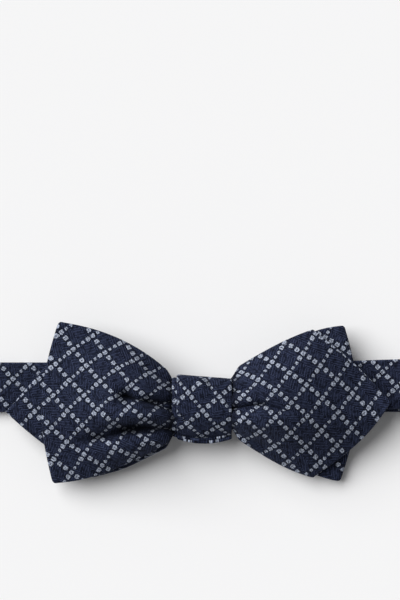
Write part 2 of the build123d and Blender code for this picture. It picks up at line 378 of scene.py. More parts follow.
# --- shader nodes ------------------------------------------------------------------------------------
class Graph:
    """Writes shader nodes as short formulas."""

    def __init__(self, tree: bpy.types.NodeTree) -> None:
        """Takes the node tree to write in."""
        self.tree = tree

    def node(self, kind: str, **settings: object) -> bpy.types.Node:
        """Adds a node and gives it its settings.

        Args:
            kind: The node's type.
            settings: Its properties by name.

        Returns:
            The node.
        """
        made = self.tree.nodes.new(kind)
        for name, value in settings.items():
            setattr(made, name, value)
        return made

    def feed(self, socket: bpy.types.NodeSocket, value: object) -> None:
        """Links a socket to another one, or sets its value."""
        if isinstance(value, bpy.types.NodeSocket):
            self.tree.links.new(value, socket)
        else:
            socket.default_value = value

    def math(self, operation: str, *values: Socket) -> bpy.types.NodeSocket:
        """The result of a Math node.

        Args:
            operation: What it does.
            values: What it does it to.

        Returns:
            The output.
        """
        made = self.node("ShaderNodeMath", operation=operation)
        for socket, value in zip(made.inputs, values):
            self.feed(socket, value)
        return made.outputs[0]

    def sum(self, *values: Socket) -> bpy.types.NodeSocket:
        """All the values added up.

        Args:
            values: What to add.

        Returns:
            The output.
        """
        total = values[0]
        for value in values[1:]:
            total = self.math("ADD", total, value)
        return total

    def times(self, *values: Socket) -> bpy.types.NodeSocket:
        """All the values multiplied.

        Args:
            values: What to multiply.

        Returns:
            The output.
        """
        product = values[0]
        for value in values[1:]:
            product = self.math("MULTIPLY", product, value)
        return product

    def step(
        self, value: Socket, low: float, high: float, start: float = 0.0, end: float = 1.0
    ) -> bpy.types.NodeSocket:
        """Start below low and end above high, with a smooth change between.

        Args:
            value: The value to read.
            low: Where the change begins.
            high: Where it is complete.
            start: The result at low.
            end: The result at high.

        Returns:
            The output.
        """
        made = self.node("ShaderNodeMapRange", interpolation_type="SMOOTHSTEP")
        for socket, given in zip(made.inputs, (value, low, high, start, end)):
            self.feed(socket, given)
        return made.outputs[0]

    def noise(self, vector: Socket, scale: float, detail: float = 2.0) -> bpy.types.NodeSocket:
        """Even noise about 0.5.

        Args:
            vector: The place to read it at.
            scale: How fine it is.
            detail: How many finer layers it has.

        Returns:
            The output.
        """
        made = self.node("ShaderNodeTexNoise")
        self.feed(made.inputs["Vector"], vector)
        made.inputs["Scale"].default_value = scale
        made.inputs["Detail"].default_value = detail
        return made.outputs[0]

    def blend(self, share: Socket, first: object, second: object) -> bpy.types.NodeSocket:
        """A colour between two colours.

        Args:
            share: How much of the second there is.
            first: A colour.
            second: Another colour.

        Returns:
            The output.
        """
        made = self.node("ShaderNodeMix", data_type="RGBA")
        self.feed(made.inputs[0], share)
        self.feed(made.inputs[6], first)
        self.feed(made.inputs[7], second)
        return made.outputs[2]

    def group(self, tree: bpy.types.NodeTree, **values: object) -> bpy.types.Node:
        """Places a node group and feeds its named inputs, underscores standing for spaces.

        Args:
            tree: The group's tree.
            values: What its inputs take.

        Returns:
            The placed group.
        """
        made = self.node("ShaderNodeGroup", node_tree=tree)
        for name, value in values.items():
            self.feed(made.inputs[name.replace("_", " ")], value)
        return made


def rgba(colour: Colour, share: float = 1.0) -> tuple[float, float, float, float]:
    """A colour with full opacity, darker or paler by a share."""
    return (*(share * part for part in colour), 1.0)


def blank(name: str) -> tuple[bpy.types.Material, Graph, bpy.types.Node]:
    """A new material with its graph and its shader.

    Args:
        name: The material's name.

    Returns:
        The material, its graph and its shader.
    """
    material = bpy.data.materials.new(name)
    material.use_nodes = True
    return material, Graph(material.node_tree), material.node_tree.nodes["Principled BSDF"]


def relieve(
    g: Graph, shader: bpy.types.Node, height: Socket, distance: float, strength: float = 1.0
) -> None:
    """Gives a shader a fine relief.

    Args:
        g: The material's graph.
        shader: Its shader.
        height: The relief, in steps of the distance.
        distance: How high one step stands, in metres.
        strength: How much of it shows.
    """
    bump = g.node("ShaderNodeBump")
    bump.inputs["Distance"].default_value = distance
    bump.inputs["Strength"].default_value = strength
    g.feed(bump.inputs["Height"], height)
    g.feed(shader.inputs["Normal"], bump.outputs[0])


class Group:
    """A node group with named inputs and outputs, built once."""

    name = "group"
    takes: Sequence[tuple[str, str]] = ()
    gives: Sequence[tuple[str, str]] = ()

    def __init__(self) -> None:
        """Builds the group's tree."""
        self.tree = bpy.data.node_groups.new(self.name, "ShaderNodeTree")
        for title, kind in self.takes:
            self.tree.interface.new_socket(name=title, in_out="INPUT", socket_type=f"NodeSocket{kind}")
        for title, kind in self.gives:
            self.tree.interface.new_socket(name=title, in_out="OUTPUT", socket_type=f"NodeSocket{kind}")
        self.graph = Graph(self.tree)
        self.inputs = self.graph.node("NodeGroupInput").outputs
        self.outputs = self.graph.node("NodeGroupOutput").inputs
        self.write()

    def write(self) -> None:
        """Fills the tree."""
        raise NotImplementedError

    def give(self, title: str, value: object) -> None:
        """Feeds one of the group's outputs."""
        self.graph.feed(self.outputs[title], value)


class DottedCheck(Group):
    """Lines of woven dots that cross: large dots along one way, large and small along the other."""

    name = "dotted_check"
    takes = (("Cloth", "Vector"), ("Along", "Float"), ("Across", "Float"), ("Dot", "Float"))
    gives = (("Dots", "Float"), ("Outline", "Float"))
    wobble = 0.55
    wobble_mean = 0.27
    squareness = 4.0
    slimmer = 0.3

    def write(self) -> None:
        """Works in millimetres on the flat cloth."""
        g = self.graph
        wobble = g.node("ShaderNodeVectorMath", operation="MULTIPLY_ADD")
        shake = g.node("ShaderNodeTexNoise")
        g.feed(shake.inputs["Vector"], self.inputs["Cloth"])
        shake.inputs["Scale"].default_value = 1.1
        shake.inputs["Detail"].default_value = 2.0
        g.feed(wobble.inputs[0], shake.outputs["Color"])
        wobble.inputs[1].default_value = (self.wobble, self.wobble, 0.0)
        g.feed(wobble.inputs[2], self.inputs["Cloth"])
        split = g.node("ShaderNodeSeparateXYZ")
        g.feed(split.inputs[0], wobble.outputs[0])
        s = g.math("SUBTRACT", split.outputs[0], self.wobble_mean)
        t = g.math("SUBTRACT", split.outputs[1], self.wobble_mean)
        along, across, dot = self.inputs["Along"], self.inputs["Across"], self.inputs["Dot"]

        def spot(near: Socket, aside: Socket, size: Socket) -> bpy.types.NodeSocket:
            """How far out of a rounded square dot a place is: under 1 inside it.

            Args:
                near: How far it is from the dot's middle one way.
                aside: How far it is the other way.
                size: Half the dot's width.

            Returns:
                The output.
            """
            lengthways = g.math("POWER", g.math("DIVIDE", near, size), self.squareness)
            sideways = g.math("POWER", g.math("DIVIDE", aside, size), self.squareness)
            return g.sum(lengthways, sideways)

        large = spot(
            g.math("PINGPONG", s, g.math("DIVIDE", along, 6.0)),
            g.math("PINGPONG", t, g.math("DIVIDE", across, 2.0)),
            dot,
        )
        phase = g.math("FRACT", g.math("ADD", g.math("DIVIDE", t, across), 0.125))
        slim = g.times(g.math("GREATER_THAN", phase, 0.25), g.math("LESS_THAN", phase, 0.75))
        size = g.times(dot, g.math("MULTIPLY_ADD", slim, -self.slimmer, 1.0))
        mixed = spot(
            g.math("PINGPONG", t, g.math("DIVIDE", across, 8.0)),
            g.math("PINGPONG", s, g.math("DIVIDE", along, 2.0)),
            size,
        )
        nearest = g.math("MINIMUM", large, mixed)
        frayed = g.math("MULTIPLY_ADD", g.noise(self.inputs["Cloth"], 1.9), 3.2, -1.5)
        ragged = g.math("ADD", nearest, frayed)
        face = g.step(ragged, 1.25, 0.8)
        core = g.step(nearest, 0.03, 0.0, 1.0, 0.62)
        threads = g.step(g.noise(self.inputs["Cloth"], 2.1, 1.0), 0.36, 0.62, 0.16, 1.2)
        self.give("Dots", g.times(face, core, threads))
        self.give("Outline", g.times(g.step(nearest, 7.0, 2.0), g.step(nearest, 0.9, 1.6)))


class HerringboneTwill(Group):
    """Slanting twill lines that turn back from band to band."""

    name = "herringbone_twill"
    takes = (("Cloth", "Vector"), ("Pitch", "Float"), ("Band", "Float"))
    gives = (("Lines", "Float"), ("Slub", "Float"))

    def write(self) -> None:
        """Works in millimetres on the flat cloth."""
        g = self.graph
        split = g.node("ShaderNodeSeparateXYZ")
        g.feed(split.inputs[0], self.inputs["Cloth"])
        zigzag = g.math("PINGPONG", split.outputs[1], self.inputs["Band"])
        uneven = g.times(g.noise(self.inputs["Cloth"], 0.7), 0.16)
        phase = g.math("DIVIDE", g.sum(split.outputs[0], zigzag, uneven), self.inputs["Pitch"])
        wave = g.math("SINE", g.times(phase, 2 * math.pi))
        fine = g.noise(self.inputs["Cloth"], 2.6, 3.0)
        self.give("Lines", g.step(g.sum(wave, g.math("MULTIPLY_ADD", fine, 1.8, -0.9)), -0.3, 1.3))
        self.give("Slub", g.step(g.noise(self.inputs["Cloth"], 0.35, 4.0), 0.3, 0.7))


class RimWear(Group):
    """Where a cloth's edge is rubbed paler and fuzzier."""

    name = "rim_wear"
    takes = (("Cloth", "Vector"), ("Rim", "Float"), ("Reach", "Float"))
    gives = (("Wear", "Float"),)

    def write(self) -> None:
        """Breaks the rim mark up with noise."""
        g = self.graph
        patch = g.step(g.noise(self.inputs["Cloth"], 0.9, 3.0), 0.35, 0.65)
        start = g.math("SUBTRACT", 1.0, self.inputs["Reach"])
        edge = g.math("DIVIDE", g.math("SUBTRACT", self.inputs["Rim"], start), self.inputs["Reach"])
        self.give("Wear", g.times(g.step(edge, 0.0, 1.0), patch))


class RubbedMetal(Group):
    """Fine scratches and handling marks on plated metal."""

    name = "rubbed_metal"
    takes = (("Place", "Vector"), ("Grain", "Float"))
    gives = (("Scratches", "Float"), ("Marks", "Float"))

    def write(self) -> None:
        """Stretches noise along the wire's or the plate's length."""
        g = self.graph
        stretch = g.node("ShaderNodeVectorMath", operation="MULTIPLY")
        g.feed(stretch.inputs[0], self.inputs["Place"])
        stretch.inputs[1].default_value = (0.08, 1.0, 1.0)
        scaled = g.node("ShaderNodeVectorMath", operation="SCALE")
        g.feed(scaled.inputs[0], stretch.outputs[0])
        g.feed(scaled.inputs["Scale"], self.inputs["Grain"])
        self.give("Scratches", g.noise(scaled.outputs[0], 1.0, 4.0))
        self.give("Marks", g.step(g.noise(self.inputs["Place"], 420.0, 3.0), 0.4, 0.65))


# --- finishes ----------------------------------------------------------------------------------------
@dataclass(frozen=True)
class CheckedTwill:
    """The tie's cloth: navy herringbone twill with a check of pale woven dots."""

    name: str
    # Scales all the cloth's colours; below 1 it is painted shade.
    shade: float = 1.0
    dark: Colour = (0.0005, 0.0008, 0.0028)
    light: Colour = (0.055, 0.07, 0.138)
    dots: Colour = (0.56, 0.62, 0.76)
    worn: Colour = (0.085, 0.1, 0.17)
    # The near-black colour that painted shade blends the cloth towards.
    painted_shade_tint: Colour = (0.0005, 0.0006, 0.001)
    sheen: Colour = (0.62, 0.72, 1.0)
    line_spacing: float = 7.75
    line_spacing_across: float = 8.5
    dot_half: float = 0.82
    twill_pitch: float = 0.8
    twill_band: float = 3.2
    # How strongly the painted shade mask darkens the cloth.
    painted_shade_strength: float = 0.8

    def make(self, weave: "Weaves") -> bpy.types.Material:
        """Builds the material.

        Args:
            weave: The shared node groups.

        Returns:
            The finished material.
        """
        material, g, shader = blank(self.name)
        flat = g.node("ShaderNodeUVMap", uv_map=CLOTH_MAP)
        cloth = g.node("ShaderNodeVectorMath", operation="SCALE")
        g.feed(cloth.inputs[0], flat.outputs[0])
        cloth.inputs["Scale"].default_value = 1 / MM
        place = cloth.outputs[0]
        rim = g.node("ShaderNodeAttribute", attribute_name=RIM_MARK).outputs["Fac"]
        painted_shade = g.node("ShaderNodeAttribute", attribute_name=PAINTED_SHADE_MARK).outputs["Fac"]

        pitch, band = self.twill_pitch, self.twill_band
        twill = g.group(weave.twill.tree, Cloth=place, Pitch=pitch, Band=band).outputs
        check = g.group(
            weave.check.tree,
            Cloth=place,
            Along=self.line_spacing,
            Across=self.line_spacing_across,
            Dot=self.dot_half,
        ).outputs
        wear = g.group(weave.wear.tree, Cloth=place, Rim=rim, Reach=0.7).outputs["Wear"]

        dark, light, dots = (rgba(tint, self.shade) for tint in (self.dark, self.light, self.dots))
        ground = g.blend(twill["Lines"], dark, light)
        ground = g.blend(g.times(twill["Slub"], 0.2), ground, light)
        ground = g.blend(g.step(g.noise(place, 0.8, 3.0), 0.56, 0.36, 0.0, 0.62), ground, dark)
        ground = g.blend(g.times(check["Outline"], 0.55), ground, dark)
        ground = g.blend(g.times(wear, 0.35), ground, rgba(self.worn))
        yarn = g.blend(twill["Lines"], rgba(self.dots, 0.62 * self.shade), dots)
        faced = g.blend(check["Dots"], ground, yarn)
        # Painted shade: the colour is blended towards near-black where the painted shade mask says, deep
        # in creases and next to the knot.
        g.feed(shader.inputs["Base Color"], g.blend(g.times(painted_shade, self.painted_shade_strength), faced, rgba(self.painted_shade_tint)))
        g.feed(shader.inputs["Roughness"], g.step(twill["Lines"], 0.0, 1.0, 0.92, 0.74))
        shader.inputs["Specular IOR Level"].default_value = 0.06
        shader.inputs["Sheen Weight"].default_value = 0.02
        shader.inputs["Sheen Roughness"].default_value = 0.45
        shader.inputs["Sheen Tint"].default_value = rgba(self.sheen)

        height = g.sum(
            g.times(twill["Lines"], 0.075),
            g.times(check["Dots"], 0.06),
            g.times(g.noise(place, 5.0, 2.0), 0.05),
            g.times(wear, 0.03),
        )
        relieve(g, shader, height, MM, 0.8)
        return material


@dataclass(frozen=True)
class Thread:
    """Tight satin stitches of sewing thread."""

    name: str
    colour: Colour = (0.012, 0.015, 0.034)
    shine: float = 2.6
    twist_scale: float = 5200.0
    stitch_depth: float = 0.04

    def make(self, weave: "Weaves") -> bpy.types.Material:
        """Builds the material.

        Args:
            weave: Not used.

        Returns:
            The finished material.
        """
        material, g, shader = blank(self.name)
        place = g.node("ShaderNodeTexCoord").outputs["Object"]
        twist = g.noise(place, self.twist_scale, 3.0)
        pale = rgba(self.colour, self.shine)
        g.feed(shader.inputs["Base Color"], g.blend(g.step(twist, 0.35, 0.65), rgba(self.colour), pale))
        g.feed(shader.inputs["Roughness"], g.step(twist, 0.3, 0.7, 0.42, 0.62))
        shader.inputs["Sheen Weight"].default_value = 0.15
        relieve(g, shader, twist, self.stitch_depth * MM)
        return material


@dataclass(frozen=True)
class PlatedMetal:
    """Satin nickel plate over pressed wire or sheet."""

    name: str
    colour: Colour = (0.62, 0.6, 0.57)
    roughness: float = 0.28
    grain: float = 9000.0
    handled: float = 0.72
    scratch_depth: float = 0.02

    def make(self, weave: "Weaves") -> bpy.types.Material:
        """Builds the material.

        Args:
            weave: The shared node groups.

        Returns:
            The finished material.
        """
        material, g, shader = blank(self.name)
        place = g.node("ShaderNodeTexCoord").outputs["Object"]
        rubbed = g.group(weave.metal.tree, Place=place, Grain=self.grain).outputs
        dull = rgba(self.colour, self.handled)
        g.feed(shader.inputs["Base Color"], g.blend(rubbed["Marks"], rgba(self.colour), dull))
        spread = g.times(rubbed["Scratches"], 0.22)
        marked = g.times(rubbed["Marks"], 0.12)
        g.feed(shader.inputs["Roughness"], g.sum(spread, marked, self.roughness - 0.1))
        shader.inputs["Metallic"].default_value = 1.0
        relieve(g, shader, rubbed["Scratches"], self.scratch_depth * MM, 0.5)
        return material


@dataclass
class Weaves:
    """The node groups that several finishes share."""

    check: DottedCheck = field(default_factory=DottedCheck)
    twill: HerringboneTwill = field(default_factory=HerringboneTwill)
    wear: RimWear = field(default_factory=RimWear)
    metal: RubbedMetal = field(default_factory=RubbedMetal)


def dress(piece: bpy.types.Object, material: bpy.types.Material) -> None:
    """Gives a piece its one material."""
    piece.data.materials.clear()
    piece.data.materials.append(material)


# --- wings -------------------------------------------------------------------------------------------
@dataclass(frozen=True)
class Edge:
    """A long edge of a wing: where it ends, and its height at the knot, on the way and at its end."""

    end_x: float
    at_knot: float
    third: float
    two_thirds: float
    end: float

    def height(self, x: np.ndarray, knot_x: float) -> np.ndarray:
        """The edge's Y at some X, level past its end."""
        share = (x - knot_x) / (self.end_x - knot_x)
        return cubic(np.minimum(share, 1.0), self.at_knot, self.third, self.two_thirds, self.end)


@dataclass(frozen=True)
class Swell:
    """How a ply stands off the surface: the height of its edges and its rise between them.

    Each is given at the knot, a third and two thirds out, and at the end.
    """

    edge: tuple[float, float, float, float]
    rise: tuple[float, float, float, float]
    flatness: float = 2.2

    def height(self, out: np.ndarray, up: np.ndarray) -> np.ndarray:
        """The height of the middle surface, by shares out from the knot and up from the lower edge."""
        dome = 1 - np.abs(2 * up - 1) ** self.flatness
        return cubic(out, *self.edge) + cubic(out, *self.rise) * dome


@dataclass
class Wing:
    """What a folded loop and a pointed blade have in common."""

    name: str
    side: Side
    top: Edge
    bottom: Edge
    over: Swell
    grain: Grain
    creases: tuple[Crease, ...]
    stands_for: tuple[str, ...]
    flat_size: tuple[float, float]
    seed: int
    root: float = 5.0
    knot_x: float = 11.5
    cell: float = 0.75
    thickness: float = 1.2
    unevenness: float = 0.5
    take_up: float = 0.2
    shallow: float = 0.35
    fan: float = 0.4
    fan_centre: float = 15.0
    droop: float = 0.32
    droop_limit: float = 9.4
    droop_from: float = -4.0
    top_droop: float = 0.0
    top_droop_from: float = 14.0
    droop_reach: float = 6.0
    droop_between: tuple[float, float] = (9.0, 24.0)
    tuck: float = 0.76
    tuck_between: tuple[float, float] = (-1.5, 2.5)
    # The painted shade mask: crease depths where it begins and is full, how much painted shade falls next
    # to the knot, and between which distances from it.
    painted_shade_depth_from: float = 1.5
    painted_shade_depth_full: float = 7.5
    knot_shade: float = 0.8
    knot_shade_between: tuple[float, float] = (2.6, -0.4)
    edge_room: float = 1.0

    def settle(self, x: np.ndarray, y: np.ndarray) -> np.ndarray:
        """How far the wing sags below the band, away from the knot.

        Args:
            x: Places along the band.
            y: Places up the bow.

        Returns:
            The lift at each place, negative where the wing sags.
        """
        below = np.maximum(self.droop_from - y, 0)
        above = np.maximum(y - self.top_droop_from, 0)
        sag = self.droop * below * below / (below + self.droop_reach)
        sag = sag + self.top_droop * above * above / (above + self.droop_reach)
        return -self.droop_limit * np.tanh(sag / self.droop_limit) * ease(np.abs(x), *self.droop_between)

    def lay_flat(self, middle: np.ndarray, smooth: np.ndarray) -> np.ndarray:
        """Lays the wing out flat, taking up only part of what its swell and creases add to its surface.

        Args:
            middle: The wing's grid with its creases.
            smooth: The same grid without them.

        Returns:
            Each grid point's place on the flat cloth, true where two lines of the check cross.
        """
        centre = middle.shape[1] // 2
        side = self.side.value
        shallow = np.array([1.0, 1.0, self.shallow])
        flat = flatten(smooth * shallow, side, centre)
        flat = flat + self.take_up * (flatten(middle, side, centre) - flatten(smooth, side, centre))
        rows = self.over_rows(middle)
        spread = self.fan * self.fanned(middle[:rows, :, :2])
        flat = flat + np.concatenate([spread, np.repeat(spread[-1:], len(middle) - rows, axis=0)])
        crossing = np.array(self.grain.crossing)
        over = middle[:rows, :, :2]
        gap = np.linalg.norm(over - crossing, axis=2)
        nearest = np.unravel_index(np.argmin(gap), gap.shape)
        return flat + over[nearest] - flat[nearest]

    def fanned(self, place: np.ndarray) -> np.ndarray:
        """How far the weave strays where it fans out from the knot, as the cloth is gathered there.

        Args:
            place: Places on the wing, in its last axis.

        Returns:
            How far each place strays on the flat cloth.
        """
        out = np.abs(place[..., 0]) + self.fan_centre
        up = place[..., 1]
        radius = self.fan_centre + abs(self.top.end_x)
        strayed = self.side.value * (np.hypot(out, up) - out)
        return np.stack([strayed, np.arctan2(up, out) * radius - up], axis=-1)

    def over_rows(self, middle: np.ndarray) -> int:
        """How many of the grid's rows are on the over ply."""
        return len(middle)

    def columns(self) -> np.ndarray:
        """The grid lines across the wing."""
        return stations(self.top.end - self.bottom.end, self.cell, self.edge_room)

    def heights(self, x: np.ndarray, up: np.ndarray) -> np.ndarray:
        """The wing's Y at some X, by the share up from its lower edge.

        Args:
            x: Places along the band.
            up: Shares up from the lower edge.

        Returns:
            The Y of each place.
        """
        knot = self.side.value * self.knot_x
        low = self.bottom.height(x, knot)
        begin, stop = self.tuck_between
        tucked = self.tuck + (1 - self.tuck) * ease(np.abs(x), self.knot_x + begin, self.knot_x + stop)
        return (low + (self.top.height(x, knot) - low) * up) * tucked

    def relief(self, x: np.ndarray, y: np.ndarray) -> np.ndarray:
        """Creases and unevenness together.

        Args:
            x: Places along the band.
            y: Places up the bow.

        Returns:
            The lift at each place.
        """
        lift = ripple(x, y, self.seed, self.unevenness)
        for crease in self.creases:
            lift = lift + crease.height(x, y)
        return lift

    def painted_shade_mask(self, x: np.ndarray, y: np.ndarray) -> np.ndarray:
        """Painted shade: how much darker the cloth is drawn deep in its creases and next to the knot.

        Args:
            x: Places along the band.
            y: Places up the bow.

        Returns:
            How much painted shade each place takes, from 0 to 1.
        """
        depth = sum((np.maximum(-crease.height(x, y), 0) for crease in self.creases), np.zeros_like(x))
        begin, stop = self.knot_shade_between
        beside = ease(np.abs(x), self.knot_x + begin, self.knot_x + stop)
        return np.clip(ease(depth, self.painted_shade_depth_from, self.painted_shade_depth_full) + self.knot_shade * beside, 0, 1)

    def finish(
        self, middle: np.ndarray, smooth: np.ndarray, material: bpy.types.Material
    ) -> bpy.types.Object:
        """Args:
            middle: The wing's grid with its creases.
            smooth: The same grid without them.
            material: The cloth's finish.

        Returns:
            The finished piece, riding with the bow.
        """
        flat = self.lay_flat(middle, smooth)
        middle[..., 2] += self.settle(middle[..., 0], middle[..., 1])
        # Painted shade for the wing's deep creases and its edge beside the knot.
        painted_shade = self.painted_shade_mask(middle[..., 0], middle[..., 1])
        if self.side is Side.LEFT:
            middle, flat, painted_shade = middle[:, ::-1], flat[:, ::-1], painted_shade[:, ::-1]
        sheet = Sheet(self.name, middle, flat, self.grain, self.thickness, painted_shade=painted_shade)
        piece = sheet.build()
        dress(piece, material)
        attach(piece, "bow")
        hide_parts(*self.stands_for)
        size = tuple(length * MM for length in self.flat_size)
        sheet.area()
        return piece


@dataclass
class Loop(Wing):
    """A wing folded back on itself, over ply and under ply in one cloth."""

    bow_out: float = 4.5
    corner: float = 0.9
    corner_reach: float = 1.6
    under: Swell = Swell((12, 12, 12, 12), (0, 0, 0, 0))
    under_drop: float = 1.6
    creased_to: float = 0.86
    turn_steps: int = 9

    def over_rows(self, middle: np.ndarray) -> int:
        """How many of the grid's rows are on the over ply."""
        return len(middle) // 2

    def build(self, material: bpy.types.Material) -> bpy.types.Object:
        """Builds the loop.

        Args:
            material: The cloth's finish.

        Returns:
            The finished piece.
        """
        side = self.side.value
        up = self.columns()[None, :]
        reach = np.abs(self.bottom.end_x + (self.top.end_x - self.bottom.end_x) * up)
        from_corner = np.minimum(up, 1 - up) * (self.top.end - self.bottom.end)
        rounding = self.corner * (1 - np.clip(from_corner / (self.corner_reach * self.corner), 0, 1)) ** 2
        reach = reach + self.bow_out * np.sin(math.pi * up) - rounding
        outer = self.over.height(np.ones_like(up), up)
        inner = self.under.height(np.ones_like(up), up)
        bend = (outer - inner) / 2

        run = float(reach.mean()) - self.root
        out = stations(run, self.cell, self.edge_room)
        out = np.append(out[out <= 1 - self.edge_room / run], 1.0)[:, None]
        x = side * (self.root + (reach - bend - self.root) * out)
        y = self.heights(x, up)
        lift = self.relief(x, y) * ease(out, 1.0, self.creased_to)
        over = np.stack([x, y, self.over.height(out, up)], axis=-1)

        angles = np.linspace(0, math.pi, self.turn_steps)[1:-1][:, None]
        turn_x = side * (reach - bend + bend * np.sin(angles))
        turn_z = (outer + inner) / 2 + bend * np.cos(angles)
        turn = np.stack([turn_x, np.repeat(y[-1:], len(angles), axis=0), turn_z], axis=-1)

        shown = ease(out, 0.82, 0.45) * ease(out, 0.0, 0.2)
        lower = y - self.under_drop * (1 - up) * shown
        under = np.stack([x, lower, self.under.height(out, up)], axis=-1)[::-1]
        smooth = np.concatenate([over, turn, under])
        middle = smooth.copy()
        middle[: len(over), :, 2] += lift
        return self.finish(middle, smooth, material)


@dataclass
class Blade(Wing):
    """A wing that ends in a diamond point."""

    tip: tuple[float, float] = (70.0, 0.0)
    full: tuple[float, float] = (0.0, 0.0)
    fullness_rise: float = 6.0
    nearest_line: float = 0.004
    creased_to: float = 0.93

    def build(self, material: bpy.types.Material) -> bpy.types.Object:
        """Builds the blade.

        Args:
            material: The cloth's finish.

        Returns:
            The finished piece.
        """
        side = self.side.value
        tip_up = (self.tip[1] - self.bottom.end) / (self.top.end - self.bottom.end)
        up = self.columns()
        up = np.unique(np.append(up[np.abs(up - tip_up) > self.nearest_line], tip_up))[None, :]
        end = np.where(
            up < tip_up,
            self.bottom.end_x + (self.tip[0] - self.bottom.end_x) * up / tip_up,
            self.tip[0] + (self.top.end_x - self.tip[0]) * (up - tip_up) / (1 - tip_up),
        )
        share = np.where(up < tip_up, up / tip_up, (1 - up) / (1 - tip_up))
        full = np.where(up < tip_up, self.full[0], self.full[1])
        reach = np.abs(end) + full * np.sin(math.pi * share) * np.clip(share * self.fullness_rise, 0, 1)
        out = stations(float(reach.mean()) - self.root, self.cell, self.edge_room)[:, None]
        x = side * (self.root + (reach - self.root) * out)
        y = self.heights(x, up)
        far = (np.abs(x) - self.root) / (abs(self.tip[0]) - self.root)
        smooth = np.stack([x, y, self.over.height(far, up)], axis=-1)
        middle = smooth.copy()
        middle[..., 2] += self.relief(x, y) * ease(out, 1.0, self.creased_to)
        return self.finish(middle, smooth, material)


def plies(*names: str) -> tuple[str, ...]:
    """The three CAD nodes of each named ply."""
    return tuple(f"{name}_{layer}" for name in names for layer in ("face", "backing", "interlining"))


def front_loop() -> Loop:
    """The folded wing at the front left.

    Returns:
        The wing, not built yet.
    """
    corner = Box.of("front_loop_over_face")
    reach = Box.of("front_loop_fold").low[0]
    return Loop(
        name="front_loop",
        side=Side.LEFT,
        top=Edge(corner.low[0] + 1.0, 10.5, 20.8, 26.9, corner.high[1]),
        bottom=Edge(corner.low[0] - 1.4, -14.0, -21.6, -27.4, corner.low[1]),
        bow_out=(corner.low[0] - reach) - 0.3,
        over=Swell((13.4, 15.4, 15.2, 13.9), (-2.5, 10.0, 7.5, 2.6)),
        under=Swell((12.4, 12.9, 12.9, 12.7), (0.4, 0.1, 0.0, 0.0)),
        grain=Grain(-45.5, (-37.6, 8.2)),
        creases=(
            Crease((-10.0, -3.2), (-29.0, 3.0), 1.5, 4.2, (0.1, 0.15)),
            Crease((-26.0, 1.8), (-31.0, 3.0), 3.0, 5.2, (0.5, 0.5), 1.7),
            Crease((-9.0, 0.2), (-22.0, 1.2), 1.5, 4.0, (0.1, 0.3)),
            Crease((-9.0, -9.4), (-30.0, -9.2), 2.4, 5.6, (0.1, 0.3), 1.8),
            Crease((-22.0, -8.6), (-44.0, -14.0), 2.9, 5.2, (0.3, 0.35), 1.8),
            Crease((-12.0, -4.6), (-36.0, -4.2), 2.6, -2.0, (0.1, 0.4)),
            Crease((-10.0, 6.2), (-23.0, 13.5), 1.8, 2.4, (0.1, 0.4)),
            Crease((-12.0, -11.5), (-34.0, -20.5), 3.6, -1.3, (0.1, 0.5)),
        ),
        stands_for=plies("front_loop_over", "front_loop_under") + ("front_loop_fold", "front_waist"),
        flat_size=(62.0, 125.0),
        seed=11,
        shallow=0.15,
        take_up=0.12,
    )


def front_blade() -> Blade:
    """The pointed wing at the front right."""
    box = Box.of("front_blade_face")
    return Blade(
        name="front_blade",
        side=Side.RIGHT,
        top=Edge(40.7, 12.4, 18.2, 23.3, 27.2),
        bottom=Edge(41.1, -12.5, -18.9, -24.4, -28.0),
        tip=(box.high[0], 0.3),
        full=(3.3, 1.7),
        droop=0.75,
        over=Swell((13.6, 15.2, 15.0, 14.6), (-2.0, 10.5, 4.6, 0.6)),
        grain=Grain(-40.5, (43.1, 13.7)),
        creases=(
            Crease((9.0, -2.4), (22.0, 0.0), 1.3, 4.2, (0.1, 0.25)),
            Crease((20.0, 0.2), (31.0, -2.8), 1.6, 3.0, (0.2, 0.4)),
            Crease((9.0, 3.0), (17.0, 6.0), 1.3, 2.2, (0.1, 0.6)),
            Crease((9.5, -6.0), (27.0, -8.5), 3.0, -1.8, (0.1, 0.4)),
            Crease((9.5, -9.5), (24.0, -16.0), 1.8, 2.0, (0.1, 0.5)),
            Crease((9.5, 7.0), (22.0, 14.5), 1.6, 1.4, (0.1, 0.5)),
        ),
        stands_for=plies("front_blade"),
        flat_size=(55.0, 66.0),
        seed=23,
    )


def rear_loop() -> Loop:
    """The folded wing behind the right one.

    Returns:
        The wing, not built yet.
    """
    corner = Box.of("rear_loop_over_face")
    reach = Box.of("rear_loop_fold").high[0]
    return Loop(
        name="rear_loop",
        side=Side.RIGHT,
        top=Edge(corner.high[0] + 1.0, 9.0, 18.3, 25.4, corner.high[1] - 0.5),
        bottom=Edge(corner.high[0] - 0.3, -11.0, -18.0, -25.2, corner.low[1] - 0.5),
        bow_out=(reach - corner.high[0]) - 0.2,
        over=Swell((13.2, 13.6, 13.7, 13.5), (0.4, 0.2, 0.2, 0.6)),
        under=Swell((11.7, 11.7, 11.6, 11.4), (0.2, 0.0, 0.0, 0.0)),
        grain=Grain(-39.0, (52.0, 20.0)),
        creases=(),
        stands_for=plies("rear_loop_over", "rear_loop_under") + ("rear_loop_fold", "rear_waist"),
        flat_size=(60.0, 118.0),
        seed=37,
        unevenness=0.15,
        under_drop=0.5,
        droop=0.75,
        top_droop=0.35,
        corner=0.7,
    )


def rear_blade() -> Blade:
    """The pointed end behind the left wing."""
    box = Box.of("rear_blade_face")
    return Blade(
        name="rear_blade",
        side=Side.LEFT,
        top=Edge(-47.5, 8.0, 17.0, 23.0, 26.0),
        bottom=Edge(-41.0, -13.0, -20.0, -25.0, -28.0),
        tip=(box.low[0], -3.6),
        full=(1.8, 0.0),
        over=Swell((11.5, 11.3, 10.6, 8.2), (0.1, 0.1, 0.3, 0.0)),
        grain=Grain(-50.0, (-62.5, -3.4)),
        creases=(),
        stands_for=plies("rear_blade"),
        flat_size=(54.0, 69.0),
        seed=41,
        unevenness=0.3,
    )


